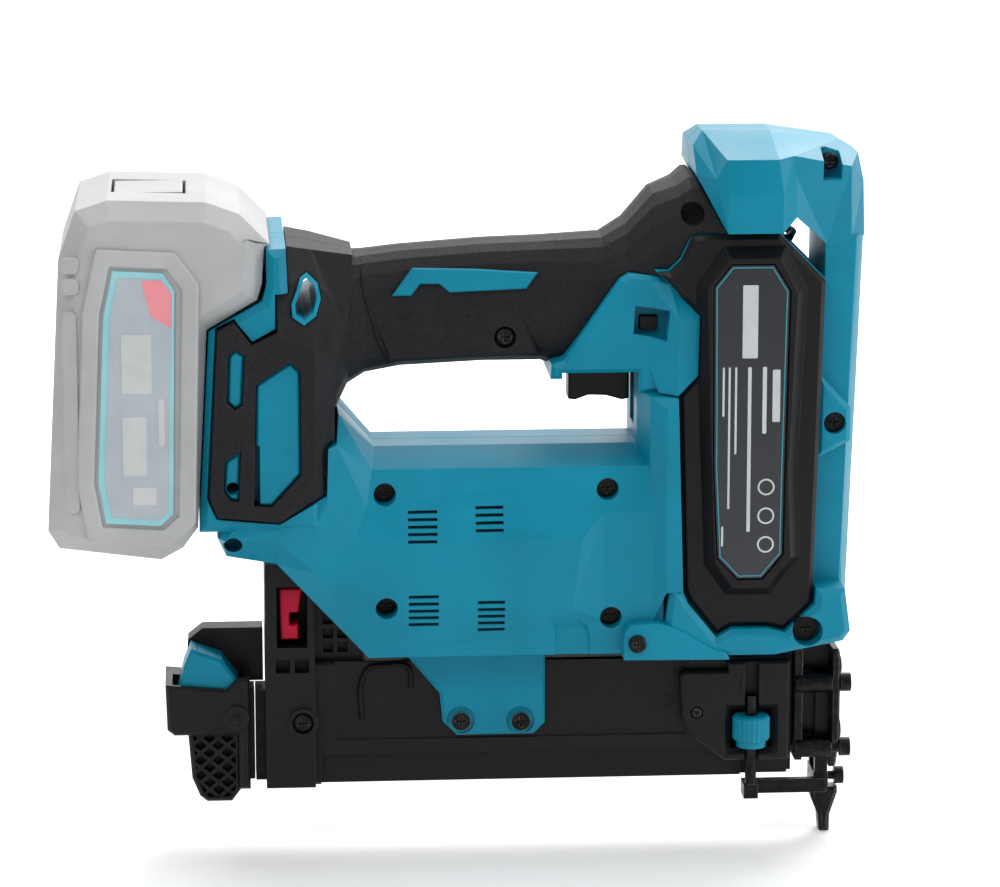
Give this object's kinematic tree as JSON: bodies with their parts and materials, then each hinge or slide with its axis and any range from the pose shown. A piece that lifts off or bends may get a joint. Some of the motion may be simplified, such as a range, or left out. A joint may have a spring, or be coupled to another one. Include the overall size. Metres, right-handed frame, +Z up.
{
  "type": "brad nailer",
  "caption": "Cordless brad nailer: split teal housing with open grip, spring-driven tower, nose with contact tip, sliding brad magazine and slide-on battery.",
  "frame": {"origin": "centre of the contact tip's flat lower face, where a brad leaves the tool", "axes": "+X forward to the nose, +Y to the tool's left, +Z up along the driver line"},
  "size_m": [0.2782, 0.0808, 0.25],
  "materials": {
    "teal_nylon": "fine spark-eroded texture",
    "black_nylon": "fine texture",
    "grip_rubber": "leather-like texture",
    "plate_film": "smooth film",
    "black_steel": "black oxide",
    "steel": "ground",
    "spring_steel": "drawn wire",
    "motor_windings": "varnished",
    "red_rubber": "smooth",
    "battery_grey": "fine texture",
    "label_teal": "smooth film",
    "board_green": "solder mask",
    "clear_lens": "frosted"
  },
  "bodies": {
    "frame": {"housing_right": "teal_nylon", "housing_left": "teal_nylon", "housing_screw_1": "black_steel", "housing_screw_2": "black_steel", "housing_screw_3": "black_steel", "housing_screw_4": "black_steel", "base_screw": "black_steel", "arm_screw": "black_steel", "flap_screw_1": "black_steel", "flap_screw_2": "black_steel", "grip_right": "grip_rubber", "grip_left": "grip_rubber", "strap_eyelet": "teal_nylon", "grip_inlay_right": "teal_nylon", "grip_inlay_left": "teal_nylon", "tower_cover_right": "black_nylon", "tower_cover_left": "black_nylon", "rating_plate_right": "plate_film", "rating_plate_left": "plate_film", "motor_stator": "motor_windings", "gearbox_case": "steel", "spring_guide_rod": "steel", "main_spring": "spring_steel", "bumper": "grip_rubber", "trigger_pin": "steel", "trigger_spring": "spring_steel", "switch_body": "black_nylon", "control_board": "board_green", "work_light_lens": "clear_lens", "magazine_frame": "black_nylon", "driver_guide": "black_steel", "guide_cover": "black_steel", "guide_bolt_right_1": "black_steel", "guide_bolt_left_1": "black_steel", "guide_bolt_right_2": "black_steel", "guide_bolt_left_2": "black_steel", "front_bracket": "black_nylon", "battery_rail_block": "black_nylon"},
    "trigger": {"trigger": "black_nylon"},
    "lock": {"trigger_lock": "black_nylon"},
    "driver": {"driver_blade": "steel", "plunger": "black_steel"},
    "lifter": {"lifter_wheel": "steel"},
    "output": {"output_shaft": "steel"},
    "rotor": {"motor_rotor": "steel"},
    "contact": {"contact_arm": "black_steel", "contact_tip": "black_steel", "tip_bolt": "black_steel"},
    "dial": {"depth_dial": "teal_nylon"},
    "magazine": {"magazine_channel": "black_steel", "end_cap": "black_nylon", "latch_pin": "black_steel", "pusher_spring": "spring_steel"},
    "pusher": {"pusher": "black_nylon"},
    "latch": {"latch_lever": "teal_nylon"},
    "spare_tip": {"spare_nose_tip": "red_rubber"},
    "battery": {"battery_case": "battery_grey", "battery_label_right": "label_teal", "battery_label_left": "label_teal"},
    "battery_button": {"battery_button": "battery_grey"}
  },
  "joints": [
    {"name": "trigger_pull", "type": "hinge", "parent": "frame", "child": "trigger", "pos_m": [-0.074, 0, 0.175], "axis": [0, 1, 0], "range_deg": [0, 8], "stiffness_Nm_per_rad": 0.6, "springref_deg": -8.59},
    {"name": "trigger_lock_slide", "type": "slide", "parent": "frame", "child": "lock", "axis": [0, 1, 0], "range_m": [-0.003, 0.003]},
    {"name": "contact_slide", "type": "slide", "parent": "frame", "child": "contact", "axis": [0, 0, 1], "range_m": [0, 0.007], "stiffness_N_per_m": 1600, "springref_m": -0.03},
    {"name": "depth_dial_turn", "type": "hinge", "parent": "frame", "child": "dial", "pos_m": [-0.0276, -0.0145, 0.041], "axis": [0, 0, 1], "range_deg": [-360, 360]},
    {"name": "magazine_slide", "type": "slide", "parent": "frame", "child": "magazine", "axis": [-1, 0, 0], "range_m": [0, 0.11]},
    {"name": "pusher_slide", "type": "slide", "parent": "magazine", "child": "pusher", "axis": [1, 0, 0], "range_m": [-0.11, 0], "stiffness_N_per_m": 30, "springref_m": 0.15, "deforming": ["pusher_spring"]},
    {"name": "latch_turn", "type": "hinge", "parent": "magazine", "child": "latch", "pos_m": [-0.206, 0, 0.0485], "axis": [0, 1, 0], "range_deg": [-10, 0], "stiffness_Nm_per_rad": 0.4, "springref_deg": 14.32},
    {"name": "spare_tip_pull", "type": "slide", "parent": "frame", "child": "spare_tip", "axis": [0, -1, 0], "range_m": [0, 0.02]},
    {"name": "driver_stroke", "type": "slide", "parent": "frame", "child": "driver", "axis": [0, 0, 1], "range_m": [-0.056, 0], "deforming": ["main_spring"]},
    {"name": "lifter_turn", "type": "hinge", "parent": "frame", "child": "lifter", "pos_m": [-0.0132, 0, 0.1042], "axis": [0, 1, 0], "range_deg": [0, 345]},
    {"name": "output_turn", "type": "hinge", "parent": "frame", "child": "output", "pos_m": [-0.06, 0, 0.1042], "axis": [1, 0, 0], "range_deg": [-345, 0]},
    {"name": "rotor_spin", "type": "hinge", "parent": "frame", "child": "rotor", "pos_m": [-0.145, 0, 0.1042], "axis": [1, 0, 0], "range_deg": [-2070, 0]},
    {"name": "battery_slide", "type": "slide", "parent": "frame", "child": "battery", "axis": [0, 0, 1], "range_m": [0, 0.08]},
    {"name": "battery_button_press", "type": "slide", "parent": "battery", "child": "battery_button", "axis": [0, 0, -1], "range_m": [0, 0.003], "stiffness_N_per_m": 1500, "springref_m": -0.002}
  ],
  "couplings": [
    {"joint": "lifter_turn", "follows": "driver_stroke", "rad_per_m": -105.26},
    {"joint": "output_turn", "follows": "driver_stroke", "rad_per_m": 105.26},
    {"joint": "rotor_spin", "follows": "driver_stroke", "rad_per_m": 631.58}
  ]
}
